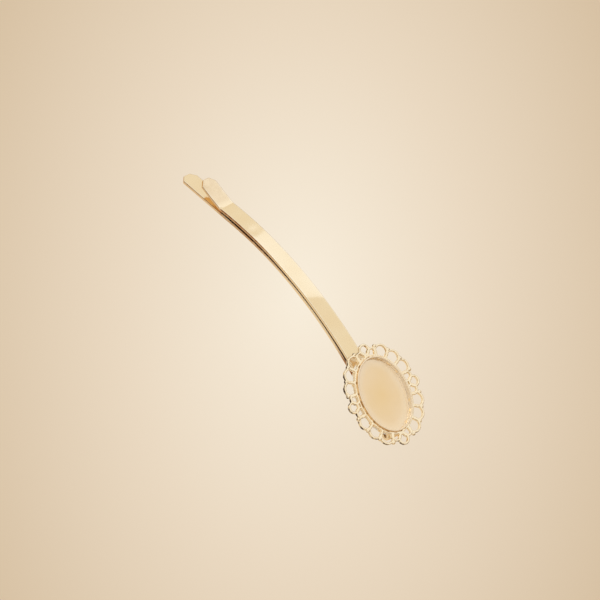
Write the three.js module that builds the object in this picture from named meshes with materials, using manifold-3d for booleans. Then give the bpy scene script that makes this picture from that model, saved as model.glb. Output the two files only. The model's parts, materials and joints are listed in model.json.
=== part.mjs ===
// Hair grip: a folded flat spring strip that carries an oval stone setting with a lace border.
// Millimetres, +Z up. The grip lies arch up, on its folded end and on the tip of its lower leg.

import * as THREE from 'three';
import { mergeVertices } from 'three/addons/utils/BufferGeometryUtils.js';
import Module from 'manifold-3d';

const wasm = await Module();
wasm.setup();

// Stone seat and cup
const STONE_LENGTH = 14;
const STONE_WIDTH = 10;
const STONE_CLEARANCE = 0.1;
const CUP_WALL = 0.3;
const CUP_DEPTH = 1.2;
const CUP_FLOOR = 0.4;
const CUP_EDGE = 0.1;

// Spring strip
const STRIP_WIDTH = 3.3;
const STRIP_THICKNESS = 0.6;
const STRIP_EDGE = 0.08;
const ARCH_RADIUS = 73.6;
const FOLD_GAP = 0.8;
const CREASE_GAP = 0.4;
const GAP_WAIST = 0.2;
const UPPER_ARC = 56.3;
const CREASE_ANGLE = THREE.MathUtils.degToRad(19);
const CREASE_RADIUS = 2;
const UPPER_TIP = 6.5;
const LOWER_LEAD = 3.3;
const LOWER_TIP = 15.4;
const TIP_CUT_LENGTH = 1.1;
const TIP_CUT_WIDTH = 0.95;

// Pad and solder between the strip and the cup
const TRAY_SETBACK = 7.1;
const PAD_RADIUS = 4;
const PAD_THICKNESS = 0.7;
const SOLDER_THICKNESS = 0.25;
const SOLDER_MARGIN = 0.3;
const CUP_FILLET_WIDTH = 0.3;
const CUP_FILLET_HEIGHT = 0.5;

// Lace border: the loops' centre line lies LOOP_END out from the cup's ends and LOOP_SIDE from its sides
const LACE_THICKNESS = 0.6;
const LACE_BAND = 0.25;
const WIRE_WIDTH = 0.65;
const LOOP_END = 1.05;
const LOOP_SIDE = 1.27;
const LOOP_RADIUS = 1.25;
const LOOP_PITCH = 2.57;
const CREST_RADIUS = 0.95;
const CREST_OUT = 0.55;
const CREST_REACH = 3.4;
const SIDE_RADIUS = 0.8;
const SIDE_IN = 0.35;
const SIDE_REACH = 1.4;
const BEAD_RADIUS = 0.4;
const BEAD_OUT = 0.95;

// Clearances
const SEAT_GAP = 0.15;
const HINGE_GAP = 0.3;

// Facets
const ARC_STEPS = 28;
const FOLD_STEPS = 14;
const CREASE_STEPS = 4;
const OVAL_STEPS = 56;
const LOOP_STEPS = 20;
const WIRE_SIDES = 6;
const BEAD_STEPS = 8;
const BEAD_RINGS = 5;
const CUT_REACH = 200;

const foldOuter = FOLD_GAP / 2 + STRIP_THICKNESS;
const cupHeight = CUP_DEPTH + CUP_FLOOR;
const cupInner = new THREE.Vector2(STONE_LENGTH / 2, STONE_WIDTH / 2).addScalar(STONE_CLEARANCE);
const cupOuter = cupInner.clone().addScalar(CUP_WALL);
const laceBottom = CUP_FILLET_HEIGHT + SEAT_GAP;
const lowerArc = UPPER_ARC - LOWER_LEAD;

// A closed geometry as a solid for cuts and joins.
function solid(geometry) {
  const bare = geometry.clone();
  bare.deleteAttribute('normal');
  bare.deleteAttribute('uv');
  const merged = mergeVertices(bare, 1e-5);
  const mesh = new wasm.Mesh({
    numProp: 3,
    vertProperties: new Float32Array(merged.attributes.position.array),
    triVerts: new Uint32Array(merged.index.array),
  });
  return new wasm.Manifold(mesh);
}

// A solid back as a geometry.
function geometryOf(body) {
  const mesh = body.getMesh();
  const geometry = new THREE.BufferGeometry();
  geometry.setAttribute('position', new THREE.BufferAttribute(mesh.vertProperties, 3));
  geometry.setIndex(new THREE.BufferAttribute(mesh.triVerts, 1));
  geometry.computeVertexNormals();
  return geometry;
}

// An outline drawn in X and Z, extruded across Y about the middle, with broken edges.
function acrossY(points, width, edge) {
  const geometry = new THREE.ExtrudeGeometry(new THREE.Shape(points), {
    depth: width - 2 * edge,
    steps: 1,
    bevelEnabled: edge > 0,
    bevelThickness: edge,
    bevelSize: edge,
    bevelOffset: -edge,
    bevelSegments: 1,
  });
  geometry.translate(0, 0, edge - width / 2);
  return geometry.rotateX(Math.PI / 2);
}

// An outline drawn in X and Y, extruded up from a level, with an optional hole and broken edges.
function upwards(points, bottom, height, hole = null, edge = 0) {
  const shape = new THREE.Shape(points);
  if (hole) shape.holes.push(new THREE.Path(hole));
  const geometry = new THREE.ExtrudeGeometry(shape, {
    depth: height - 2 * edge,
    steps: 1,
    bevelEnabled: edge > 0,
    bevelThickness: edge,
    bevelSize: edge,
    bevelOffset: -edge,
    bevelSegments: 2,
  });
  return geometry.translate(0, 0, bottom + edge);
}

// The points of an oval whose half axes are those of `half`, moved out by `offset`.
function oval(half, offset) {
  const curve = new THREE.EllipseCurve(0, 0, half.x + offset, half.y + offset, 0, 2 * Math.PI);
  return curve.getPoints(OVAL_STEPS).slice(0, -1);
}

// The outline of a strip whose outer face is `path` and whose thickness lies on the path's left.
function ribbon(path, thickness) {
  const inner = path.map((point, i) => {
    const before = path[Math.max(i - 1, 0)];
    const after = path[Math.min(i + 1, path.length - 1)];
    const leaving = (i < path.length - 1 ? after.clone().sub(point) : point.clone().sub(before)).normalize();
    const arriving = (i > 0 ? point.clone().sub(before) : after.clone().sub(point)).normalize();
    const along = leaving.clone().add(arriving).normalize();
    const mitre = thickness / along.dot(leaving);
    return new THREE.Vector2(-along.y, along.x).multiplyScalar(mitre).add(point);
  });
  return [...path, ...inner.reverse()];
}

// A point on the arch: `arc` runs along the upper leg's outer face from the fold, `depth` lies below it.
function archPoint(arc, depth) {
  const angle = arc / ARCH_RADIUS;
  const radius = ARCH_RADIUS - depth;
  return new THREE.Vector2(-radius * Math.sin(angle), foldOuter - ARCH_RADIUS + radius * Math.cos(angle));
}

// The open space between the legs, which closes from the fold to the crease and is waisted half way.
function legGap(arc) {
  const share = arc / UPPER_ARC;
  return THREE.MathUtils.lerp(FOLD_GAP, CREASE_GAP, share) - 4 * GAP_WAIST * share * (1 - share);
}

// Points along the arch from one arc length to another, at a depth given by a function.
function archPath(from, to, depthAt) {
  return Array.from({ length: ARC_STEPS + 1 }, (_, i) => {
    const arc = THREE.MathUtils.lerp(from, to, i / ARC_STEPS);
    return archPoint(arc, depthAt(arc));
  });
}

// A step of a length in a heading.
function ahead(heading, length) {
  return new THREE.Vector2(Math.cos(heading), Math.sin(heading)).multiplyScalar(length);
}

// A path continued by a curve that turns by `angle` and then by a straight end.
function withTip(path, angle, radius, steps, length) {
  const chord = (radius * Math.abs(angle)) / steps;
  const end = path.at(-1).clone();
  let heading = end.clone().sub(path.at(-2)).angle();
  const tip = [];
  for (let i = 0; i < steps; i += 1) {
    heading += angle / steps / 2;
    end.add(ahead(heading, chord));
    tip.push(end.clone());
    heading += angle / steps / 2;
  }
  return [...path, ...tip, end.add(ahead(heading, length))];
}

// A leg: its side outline across the strip, with both corners of its tip cut off.
function leg(path) {
  const body = solid(acrossY(ribbon(path, STRIP_THICKNESS), STRIP_WIDTH, STRIP_EDGE));
  const end = path.at(-1);
  const heading = end.clone().sub(path.at(-2)).angle();
  const flat = STRIP_WIDTH / 2 - TIP_CUT_WIDTH;
  const flare = -TIP_CUT_LENGTH - (STRIP_WIDTH / 2) * (TIP_CUT_LENGTH / TIP_CUT_WIDTH);
  const half = [
    new THREE.Vector2(0, flat),
    new THREE.Vector2(flare, STRIP_WIDTH),
    new THREE.Vector2(-CUT_REACH, STRIP_WIDTH),
  ];
  const other = half.map((point) => new THREE.Vector2(point.x, -point.y)).reverse();
  const plan = upwards([...half, ...other], -CUT_REACH, 2 * CUT_REACH);
  plan.rotateY(-heading).translate(end.x, 0, end.y);
  return geometryOf(body.intersect(solid(plan)));
}

function upperLeg() {
  const arch = archPath(SEAT_GAP, UPPER_ARC, () => 0);
  return leg(withTip(arch, -CREASE_ANGLE, CREASE_RADIUS, CREASE_STEPS, UPPER_TIP));
}

function lowerLeg() {
  const arch = archPath(HINGE_GAP, lowerArc, (arc) => STRIP_THICKNESS + legGap(arc));
  return leg(withTip(arch, 0, 0, 0, LOWER_TIP));
}

// The fold that joins the legs and springs them together.
function springBend() {
  const outer = Array.from({ length: FOLD_STEPS + 1 }, (_, i) => {
    const angle = Math.PI * (i / FOLD_STEPS - 0.5);
    return new THREE.Vector2(Math.cos(angle), Math.sin(angle)).multiplyScalar(foldOuter);
  });
  return acrossY(ribbon(outer, STRIP_THICKNESS), STRIP_WIDTH, STRIP_EDGE);
}

// Depths below the strip's outer face are negative above it; heights are above the fold's centre.
const stripTop = archPoint(ARCH_RADIUS * Math.asin(TRAY_SETBACK / ARCH_RADIUS), 0).y;
const solderDepth = -SEAT_GAP - SOLDER_THICKNESS;
const padDepth = solderDepth - SEAT_GAP;
const padTop = stripTop - padDepth + PAD_THICKNESS;

// A round slab centred under the cup, between two side outlines.
function padSlab(points, radius, width) {
  const disc = new THREE.CylinderGeometry(radius, radius, CUT_REACH, OVAL_STEPS);
  disc.rotateX(Math.PI / 2).translate(-TRAY_SETBACK, 0, 0);
  return geometryOf(solid(acrossY(points, width, 0)).intersect(solid(disc)));
}

const padFrom = TRAY_SETBACK - 2 * PAD_RADIUS;
const padTo = TRAY_SETBACK + 2 * PAD_RADIUS;

// A flat-topped disc whose underside follows the strip.
function mountingPad() {
  const under = archPath(padFrom, padTo, () => padDepth);
  const left = new THREE.Vector2(under.at(-1).x, padTop);
  const right = new THREE.Vector2(under[0].x, padTop);
  return padSlab([...under.reverse(), right, left], PAD_RADIUS, 4 * PAD_RADIUS);
}

// The solder that fills the curved seam between the pad and the strip.
function padSolder() {
  const top = archPath(padFrom, padTo, () => solderDepth);
  return padSlab(ribbon(top, SOLDER_THICKNESS), PAD_RADIUS - SOLDER_MARGIN, STRIP_WIDTH - 2 * SOLDER_MARGIN);
}

// An open oval cup with a flat floor for the stone; its underside is at level 0.
function bezelCup() {
  const outside = solid(upwards(oval(cupOuter, 0), 0, cupHeight, null, CUP_EDGE));
  const inside = solid(upwards(oval(cupInner, 0), CUP_FLOOR, cupHeight));
  return geometryOf(outside.subtract(inside));
}

// The solder fillet round the foot of the cup's wall, under the lace.
function cupSolder() {
  const inner = oval(cupOuter, SEAT_GAP);
  const outer = oval(cupOuter, SEAT_GAP + CUP_FILLET_WIDTH);
  return upwards(outer, 0, CUP_FILLET_HEIGHT, inner);
}

// One loop of lace wire: a ring of oval section at a place in the lace's plane.
function wireRing(place, radius) {
  const wire = new THREE.EllipseCurve(radius, 0, WIRE_WIDTH / 2, LACE_THICKNESS / 2, 0, 2 * Math.PI);
  const section = wire.getPoints(WIRE_SIDES);
  section[WIRE_SIDES].copy(section[0]);
  const ring = new THREE.LatheGeometry(section, LOOP_STEPS);
  return ring.rotateX(Math.PI / 2).translate(place.x, place.y, 0);
}

function bead(place) {
  const ball = new THREE.SphereGeometry(BEAD_RADIUS, BEAD_STEPS, BEAD_RINGS);
  return ball.rotateX(Math.PI / 2).translate(place.x, place.y, 0);
}

// The oval that the centres of the lace's loops lie on.
const loopHalf = new THREE.Vector2(cupOuter.x + LOOP_END, cupOuter.y + LOOP_SIDE);
const loopOval = new THREE.EllipseCurve(0, 0, loopHalf.x, loopHalf.y, 0, 2 * Math.PI);

// A place in the lace: `arc` along the loops' oval from one end of an axis, then `out` from it.
function lacePlace(quarter, arc, out) {
  const share = quarter / 4 + arc / loopOval.getLength();
  const point = loopOval.getPointAt(THREE.MathUtils.euclideanModulo(share, 1));
  const normal = new THREE.Vector2(point.x / loopHalf.x ** 2, point.y / loopHalf.y ** 2).normalize();
  return point.addScaledVector(normal, out);
}

// The loops of one quarter, with the crest at its start, a small loop on each side of the crest,
// and a bead in each hollow of the outer edge.
function laceQuarter(quarter) {
  const free = loopOval.getLength() / 4 - 2 * CREST_REACH;
  const spaces = Math.max(1, Math.round(free / LOOP_PITCH));
  const pitch = free / spaces;
  const pieces = [
    wireRing(lacePlace(quarter, 0, CREST_OUT), CREST_RADIUS),
    wireRing(lacePlace(quarter, -SIDE_REACH, -SIDE_IN), SIDE_RADIUS),
    wireRing(lacePlace(quarter, SIDE_REACH, -SIDE_IN), SIDE_RADIUS),
    bead(lacePlace(quarter, CREST_REACH - pitch / 2, BEAD_OUT)),
  ];
  for (let i = 0; i <= spaces; i += 1) {
    const arc = CREST_REACH + i * pitch;
    pieces.push(wireRing(lacePlace(quarter, arc, 0), LOOP_RADIUS));
    pieces.push(bead(lacePlace(quarter, arc + pitch / 2, BEAD_OUT)));
  }
  return pieces;
}

// The openwork border: four quarters of wire loops on a band round the cup.
function laceBorder() {
  const wall = oval(cupOuter, SEAT_GAP);
  const band = upwards(oval(cupOuter, SEAT_GAP + LACE_BAND), -LACE_THICKNESS / 2, LACE_THICKNESS, wall);
  const pieces = [0, 1, 2, 3].flatMap(laceQuarter);
  const lace = pieces.reduce((whole, ring) => whole.add(solid(ring)), solid(band));
  const hollow = solid(upwards(wall, -LACE_THICKNESS, 2 * LACE_THICKNESS));
  return geometryOf(lace.subtract(hollow)).translate(0, 0, laceBottom + LACE_THICKNESS / 2);
}

// Finishes
const stripGold = { color: 0xdfc28a, roughness: 0.22, metalness: 1 };
const laceGold = { color: 0xdcbf85, roughness: 0.26, metalness: 1 };
const satinGold = { color: 0xe2c592, roughness: 0.42, metalness: 1 };
const solderGold = { color: 0xcdb183, roughness: 0.5, metalness: 1 };

function piece(name, geometry, finish) {
  const mesh = new THREE.Mesh(geometry, new THREE.MeshStandardMaterial(finish));
  mesh.name = name;
  return mesh;
}

const tray = new THREE.Group();
tray.position.set(-TRAY_SETBACK, 0, padTop + SEAT_GAP);
tray.add(
  piece('bezel_cup', bezelCup(), satinGold),
  piece('cup_solder', cupSolder(), solderGold),
  piece('lace_border', laceBorder(), laceGold),
);

const grip = new THREE.Group();
grip.add(
  piece('upper_leg', upperLeg(), stripGold),
  piece('spring_bend', springBend(), stripGold),
  piece('lower_leg', lowerLeg(), stripGold),
  piece('mounting_pad', mountingPad(), satinGold),
  piece('pad_solder', padSolder(), solderGold),
  tray,
);

// The grip lies on the round of its fold and on the lower tip's outer edge.
const lowerArch = archPath(HINGE_GAP, lowerArc, (arc) => 2 * STRIP_THICKNESS + legGap(arc));
const lowerTip = withTip(lowerArch, 0, 0, 0, LOWER_TIP).at(-1);
grip.rotation.y = Math.atan2(-lowerTip.y, -lowerTip.x) - Math.asin(foldOuter / lowerTip.length());

// The frame's origin is under the middle of the whole grip.
const hairGrip = new THREE.Group();
hairGrip.add(grip);
hairGrip.updateMatrixWorld(true);
const box = new THREE.Box3().setFromObject(hairGrip, true);
grip.position.set(-(box.min.x + box.max.x) / 2, -(box.min.y + box.max.y) / 2, -box.min.z);

export default hairGrip;
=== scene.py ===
"""Looks of a hair grip: a folded gold spring strip that carries an oval stone setting with a lace border.

Each piece is modelled in millimetres on a bench of its own, where its maker would hold it, and is then laid
in the part's frame, which is in metres. The strip's bench has the fold's centre at its origin, with the legs
running towards -X. The tray's bench has the middle of the cup's underside at its origin.
"""

import json
import logging
import math
from contextlib import contextmanager
from dataclasses import dataclass
from enum import Enum
from functools import cache
from itertools import accumulate
from typing import Callable, Iterator

import bmesh
import bpy
from mathutils import Matrix, Vector


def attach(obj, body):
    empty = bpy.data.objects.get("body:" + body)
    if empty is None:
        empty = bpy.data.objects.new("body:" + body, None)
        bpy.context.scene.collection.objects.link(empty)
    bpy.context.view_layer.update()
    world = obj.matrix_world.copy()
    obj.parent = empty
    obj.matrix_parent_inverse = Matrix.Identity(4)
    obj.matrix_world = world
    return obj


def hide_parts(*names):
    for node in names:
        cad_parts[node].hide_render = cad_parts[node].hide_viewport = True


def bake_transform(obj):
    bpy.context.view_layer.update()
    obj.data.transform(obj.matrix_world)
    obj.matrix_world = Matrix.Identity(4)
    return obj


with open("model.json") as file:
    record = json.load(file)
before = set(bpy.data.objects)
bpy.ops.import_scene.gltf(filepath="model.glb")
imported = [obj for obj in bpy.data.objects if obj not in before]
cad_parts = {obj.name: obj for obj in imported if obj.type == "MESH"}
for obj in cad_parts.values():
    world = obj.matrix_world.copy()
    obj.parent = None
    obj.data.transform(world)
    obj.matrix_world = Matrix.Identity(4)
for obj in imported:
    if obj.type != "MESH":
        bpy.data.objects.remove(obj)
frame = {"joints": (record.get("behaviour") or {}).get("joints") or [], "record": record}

LOG = logging.getLogger("hair_grip")
MM = 0.001

# Places closer than this, in millimetres, count as one
NEAR = 1e-4

Pair = tuple[float, float]
Triple = tuple[float, float, float]
Colour = Triple
Socket = bpy.types.NodeSocket

# Where something starts and the way from there to its end, negative for one that runs backwards
Stretch = Pair


class Body(Enum):
    """The bodies that pieces ride on."""

    SETTING = "setting"
    CLAMP_LEG = "clamp_leg"


class Slot(Enum):
    """The record's material slots."""

    STRIP = "strip_gold"
    LACE = "lace_gold"
    CUP = "cup_gold"
    SOLDER = "solder"


class Edge(Enum):
    """Where a finish finds the edges that hands and hair rub."""

    STRIP_SIDES = "distance from the strip's two sides"
    CURVATURE = "how sharply the surface turns"
    MARKED = "marks stored on the mesh"


# Bench work


def activate(piece: bpy.types.Object) -> None:
    """Select one piece alone and make it the active one.

    Args:
        piece: the object.
    """
    bpy.ops.object.select_all(action="DESELECT")
    piece.select_set(True)
    bpy.context.view_layer.objects.active = piece


def added(primitive: Callable[..., set[str]], name: str, **settings: object) -> bpy.types.Object:
    """Add a primitive with nothing else selected.

    Args:
        primitive: the operator that adds it.
        name: the new piece's name.
        settings: the primitive's size and place.

    Returns:
        The new piece.
    """
    bpy.ops.object.select_all(action="DESELECT")
    primitive(**settings)
    piece = bpy.context.object
    piece.name = piece.data.name = name
    return piece


def settled(piece: bpy.types.Object, scale: Triple = (1.0, 1.0, 1.0)) -> bpy.types.Object:
    """Scale a piece that was just added and put its place into its mesh.

    Args:
        piece: the selected object.
        scale: its scale along each axis.

    Returns:
        The piece.
    """
    piece.scale = scale
    bpy.ops.object.transform_apply(location=True, rotation=True, scale=True)
    return piece


def section(name: str, level: float, height: float, width: float) -> bpy.types.Object:
    """Stand an oblong section across X at the bench's origin.

    Args:
        name: the piece's name.
        level: height of the section's middle.
        height: its size along Z.
        width: its size along Y.

    Returns:
        The section as a plane.
    """
    place = {"location": (0.0, 0.0, level), "rotation": (0.0, -math.pi / 2, 0.0)}
    return settled(added(bpy.ops.mesh.primitive_plane_add, name, size=1.0, **place), (height, width, 1.0))


def oval(name: str, half: Pair, level: float, steps: int, fill: str = "NOTHING") -> bpy.types.Object:
    """Add a level oval round the bench's Z axis.

    Args:
        name: the piece's name.
        half: its two half-axes.
        level: its height.
        steps: how many points it has.
        fill: Blender's name for the way that it is filled.

    Returns:
        The oval.
    """
    circle = added(
        bpy.ops.mesh.primitive_circle_add, name,
        vertices=steps, radius=1.0, fill_type=fill, location=(0.0, 0.0, level),
    )
    return settled(circle, (*half, 1.0))


@contextmanager
def editing(piece: bpy.types.Object) -> Iterator[None]:
    """Hold a piece in edit mode with all of it selected.

    Args:
        piece: the mesh object to edit.
    """
    activate(piece)
    bpy.ops.object.mode_set(mode="EDIT")
    bpy.ops.mesh.select_all(action="SELECT")
    yield
    bpy.ops.object.mode_set(mode="OBJECT")


def pick(piece: bpy.types.Object, kind: str, test: Callable[[object], bool]) -> None:
    """Select the parts of a piece in edit mode that pass a test.

    Args:
        piece: the mesh object in edit mode.
        kind: "EDGE" or "VERT".
        test: says whether an element is wanted.
    """
    bpy.ops.mesh.select_mode(type=kind)
    bpy.ops.mesh.select_all(action="DESELECT")
    sheet = bmesh.from_edit_mesh(piece.data)
    for element in {"EDGE": sheet.edges, "VERT": sheet.verts}[kind]:
        element.select_set(test(element))
    sheet.select_flush_mode()
    bmesh.update_edit_mesh(piece.data)


def extrude(offset: Vector) -> None:
    """Extrude what is selected by an offset."""
    bpy.ops.mesh.extrude_region_move(TRANSFORM_OT_translate={"value": offset})


def flare(grow: Pair, rise: float = 0.0) -> None:
    """Extrude the selected outline, then scale it about the bench's Z axis and lift it.

    Args:
        grow: its scale along X and Y.
        rise: how far it is lifted.
    """
    bpy.ops.mesh.extrude_edges_move()
    bpy.ops.transform.resize(value=(*grow, 1.0), center_override=(0.0, 0.0, 0.0))
    bpy.ops.transform.translate(value=(0.0, 0.0, rise))


def sweep(centre: Vector, angle: float, steps: int) -> None:
    """Spin what is selected about an axis along Y; a positive angle runs down the arch."""
    bpy.ops.mesh.spin(steps=steps, angle=angle, center=centre, axis=(0.0, 1.0, 0.0))


def sharp(edge: bmesh.types.BMEdge, angle: float = math.radians(25)) -> bool:
    """Say whether an edge's two faces meet at more than an angle."""
    return len(edge.link_faces) == 2 and edge.calc_face_angle() > angle


def heights(edge: bmesh.types.BMEdge) -> list[float]:
    """Return the heights of an edge's two ends."""
    return [end.co.z for end in edge.verts]


def round_off(
    piece: bpy.types.Object, radius: float, steps: int, wanted: Callable[[bmesh.types.BMEdge], bool]
) -> None:
    """Round those sharp edges of a piece in edit mode that pass a test.

    Args:
        piece: the mesh object in edit mode.
        radius: the rounding's width.
        steps: how many facets make it.
        wanted: says whether a sharp edge is to be rounded.
    """
    pick(piece, "EDGE", lambda edge: sharp(edge) and wanted(edge))
    bpy.ops.mesh.bevel(offset=radius, segments=steps, profile=0.5, affect="EDGES", clamp_overlap=False)


def modify(piece: bpy.types.Object, kind: str, **settings: object) -> None:
    """Add a modifier to a piece and apply it.

    Args:
        piece: the mesh object.
        kind: Blender's name for the type of modifier.
        settings: the modifier's properties.
    """
    modifier = piece.modifiers.new(kind, kind)
    for name, value in settings.items():
        setattr(modifier, name, value)
    activate(piece)
    bpy.ops.object.modifier_apply(modifier=modifier.name)


def outwards(piece: bpy.types.Object, merge: float = 1e-5) -> None:
    """Merge a piece's doubles and turn its faces outwards.

    Args:
        piece: the mesh object.
        merge: how close two vertices have to be.
    """
    with editing(piece):
        bpy.ops.mesh.remove_doubles(threshold=merge)
        bpy.ops.mesh.normals_make_consistent(inside=False)


def into(place: float, stretch: Stretch) -> float:
    """Return how far a place is into a stretch, 0 up to its start and 1 from its end on."""
    start, run = stretch
    return min(max((place - start) / run, 0.0), 1.0)


def oval_share(spot: Vector, half: Pair) -> float:
    """Return how far out from the Z axis a spot is, where 1 is on the oval of two half-axes."""
    return math.hypot(spot.x / half[0], spot.y / half[1])


def out_of_oval(spot: Vector, half: Pair) -> Vector:
    """Return the level way out of an oval of two half-axes at a spot."""
    return Vector((spot.x / half[0] ** 2, spot.y / half[1] ** 2, 0.0)).normalized()


def mark(piece: bpy.types.Object, **marks: list[float]) -> None:
    """Store a number for each vertex of a piece under each of the names given."""
    for name, values in marks.items():
        piece.data.attributes.new(name, "FLOAT", "POINT").data.foreach_set("value", values)


def lay(piece: bpy.types.Object, place: Matrix, smooth: float, flat: bool = False) -> bpy.types.Object:
    """Shade a finished piece and lay it in the frame, with its place in its mesh.

    Args:
        piece: the mesh object, in millimetres on its bench.
        place: the bench's place in the frame, in metres.
        smooth: the angle in radians up to which faces are shaded as one surface.
        flat: whether broad faces are shaded flat right up to their rounded edges.

    Returns:
        The piece.
    """
    activate(piece)
    piece.matrix_world = place @ Matrix.Scale(MM, 4)
    bpy.ops.object.transform_apply(location=True, rotation=True, scale=True)
    bpy.ops.object.shade_smooth_by_angle(angle=smooth)
    if flat:
        modify(piece, "WEIGHTED_NORMAL", mode="FACE_AREA", keep_sharp=True)
    return piece


# Shader nodes


class Graph:
    """Writes shader nodes into one tree."""

    def __init__(self, tree: bpy.types.NodeTree) -> None:
        """Start on a tree and empty it."""
        self.tree = tree
        tree.nodes.clear()

    def add(self, kind: str, inputs: dict | None = None, **settings: object) -> bpy.types.Node:
        """Add a node.

        Args:
            kind: the node's type, without Blender's prefix for shader nodes.
            inputs: what each input socket gets, a value or another node's socket.
            settings: properties of the node.

        Returns:
            The new node.
        """
        node = self.tree.nodes.new("ShaderNode" + kind)
        for name, value in settings.items():
            setattr(node, name, value)
        for key, value in (inputs or {}).items():
            if isinstance(value, Socket):
                self.tree.links.new(value, node.inputs[key])
            else:
                node.inputs[key].default_value = value
        return node

    def math(self, operation: str, first: object, second: object = 0.0, clamp: bool = False) -> Socket:
        """Combine two numbers and return the result's socket."""
        inputs = {0: first, 1: second}
        return self.add("Math", inputs, operation=operation, use_clamp=clamp).outputs[0]

    def vector(self, operation: str, first: object, second: object) -> bpy.types.Node:
        """Combine two vectors and return the node."""
        return self.add("VectorMath", {0: first, 1: second}, operation=operation)

    def ramp(self, value: Socket, low: float, high: float, bottom: object = 0.0, top: float = 1.0) -> Socket:
        """Ease a value from one range to another and return the result's socket."""
        inputs = {"Value": value, "From Min": low, "From Max": high, "To Min": bottom, "To Max": top}
        return self.add("MapRange", inputs, interpolation_type="SMOOTHSTEP").outputs["Result"]

    def blend(self, factor: Socket, first: object, second: object) -> Socket:
        """Mix two colours.

        Args:
            factor: the second one's share.
            first: a colour or its socket.
            second: a colour or its socket.

        Returns:
            The result's socket.
        """
        opaque = [value if isinstance(value, Socket) else (*value, 1.0) for value in (first, second)]
        inputs = {0: factor, 6: opaque[0], 7: opaque[1]}
        return self.add("Mix", inputs, data_type="RGBA").outputs[2]

    def noise(self, vector: Socket, scale: object, detail: float, rough: float = 0.5) -> Socket:
        """Add a noise texture and return its value's socket."""
        inputs = {"Vector": vector, "Scale": scale, "Detail": detail, "Roughness": rough}
        return self.add("TexNoise", inputs).outputs[0]


class Effect(Graph):
    """A shared effect: a node group with named inputs and one output."""

    def __init__(self, name: str, vectors: tuple[str, ...], values: tuple[str, ...], result: str) -> None:
        """Make the group and its sockets.

        Args:
            name: the group's name.
            vectors: names of its vector inputs.
            values: names of its number inputs.
            result: name of its output.
        """
        super().__init__(bpy.data.node_groups.new(name, "ShaderNodeTree"))
        sockets = self.tree.interface
        for vector in vectors:
            sockets.new_socket(vector, in_out="INPUT", socket_type="NodeSocketVector")
        for value in values:
            sockets.new_socket(value, in_out="INPUT", socket_type="NodeSocketFloat")
        sockets.new_socket(result, in_out="OUTPUT", socket_type="NodeSocketFloat")
        self.given = self.tree.nodes.new("NodeGroupInput").outputs
        self.made = self.tree.nodes.new("NodeGroupOutput").inputs

    def give(self, result: Socket) -> bpy.types.NodeTree:
        """Send a socket to the group's output and return the group."""
        self.tree.links.new(result, self.made[0])
        return self.tree


@cache
def tone_drift() -> bpy.types.NodeTree:
    """Make the group for slow clouds of tone, as in plating of uneven thickness.

    Returns:
        The group.
    """
    group = Effect("tone_drift", ("Vector",), ("Scale",), "Drift")
    clouds = group.noise(group.given["Vector"], group.given["Scale"], detail=3.0)
    return group.give(group.ramp(clouds, low=0.32, high=0.68))


@cache
def polish_grain() -> bpy.types.NodeTree:
    """Make the group for the grain that polishing leaves; the vector's stretch gives its direction.

    Returns:
        The group.
    """
    fineness = 3.1
    coarse_share = 0.6
    fine_share = 0.4
    group = Effect("polish_grain", ("Vector",), ("Scale",), "Grain")
    coarse = group.noise(group.given["Vector"], group.given["Scale"], detail=2.0)
    finer = group.math("MULTIPLY", group.given["Scale"], fineness)
    fine = group.noise(group.given["Vector"], finer, detail=2.0)
    coarse = group.math("MULTIPLY", coarse, coarse_share)
    return group.give(group.math("ADD", coarse, group.math("MULTIPLY", fine, fine_share)))


@cache
def plate_waves() -> bpy.types.NodeTree:
    """Make the group for the long shallow waves of thin plate, which bend what it reflects."""
    group = Effect("plate_waves", ("Vector",), ("Scale",), "Waves")
    return group.give(group.noise(group.given["Vector"], group.given["Scale"], detail=1.0, rough=0.4))


@cache
def painted_dish_reflection() -> bpy.types.NodeTree:
    """Make the group for a painted reflection: a deeper, warmer tone in the middle of an oval dish that fades
    at a reach.

    Returns:
        The group.
    """
    rounding = (0.75, 1.0, 0.0)
    group = Effect("painted_dish_reflection", ("Vector",), ("Reach",), "Pool")
    flat = group.vector("MULTIPLY", group.given["Vector"], rounding).outputs[0]
    away = group.add("VectorMath", {0: flat}, operation="LENGTH").outputs["Value"]
    share = group.math("DIVIDE", away, group.given["Reach"])
    return group.give(group.math("SUBTRACT", 1.0, share, clamp=True))


@cache
def hairline_scratches() -> bpy.types.NodeTree:
    """Make the group for sparse hairline scratches in two directions.

    Returns:
        The group.
    """
    group = Effect("hairline_scratches", ("Vector",), ("Scale",), "Scratch")
    lines = []
    for turn, stretch in ((0.5, (0.12, 4.0, 4.0)), (-0.9, (0.16, 5.0, 5.0))):
        inputs = {"Vector": group.given["Vector"], "Rotation": (0.0, 0.0, turn), "Scale": stretch}
        turned = group.add("Mapping", inputs).outputs[0]
        streaks = group.noise(turned, group.given["Scale"], detail=1.0)
        lines.append(group.ramp(streaks, low=0.69, high=0.74))
    return group.give(group.math("MAXIMUM", *lines))


@cache
def edge_wear() -> bpy.types.NodeTree:
    """Make the group for rubbed edges: an edge mask with a broken border.

    Returns:
        The group.
    """
    raggedness = 1.1
    group = Effect("edge_wear", ("Vector",), ("Edge", "Scale"), "Wear")
    patches = group.noise(group.given["Vector"], group.given["Scale"], detail=3.0)
    shift = group.math("MULTIPLY", group.math("SUBTRACT", patches, 0.5), raggedness)
    return group.give(group.ramp(group.math("ADD", group.given["Edge"], shift), low=0.35, high=0.95))


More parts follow.
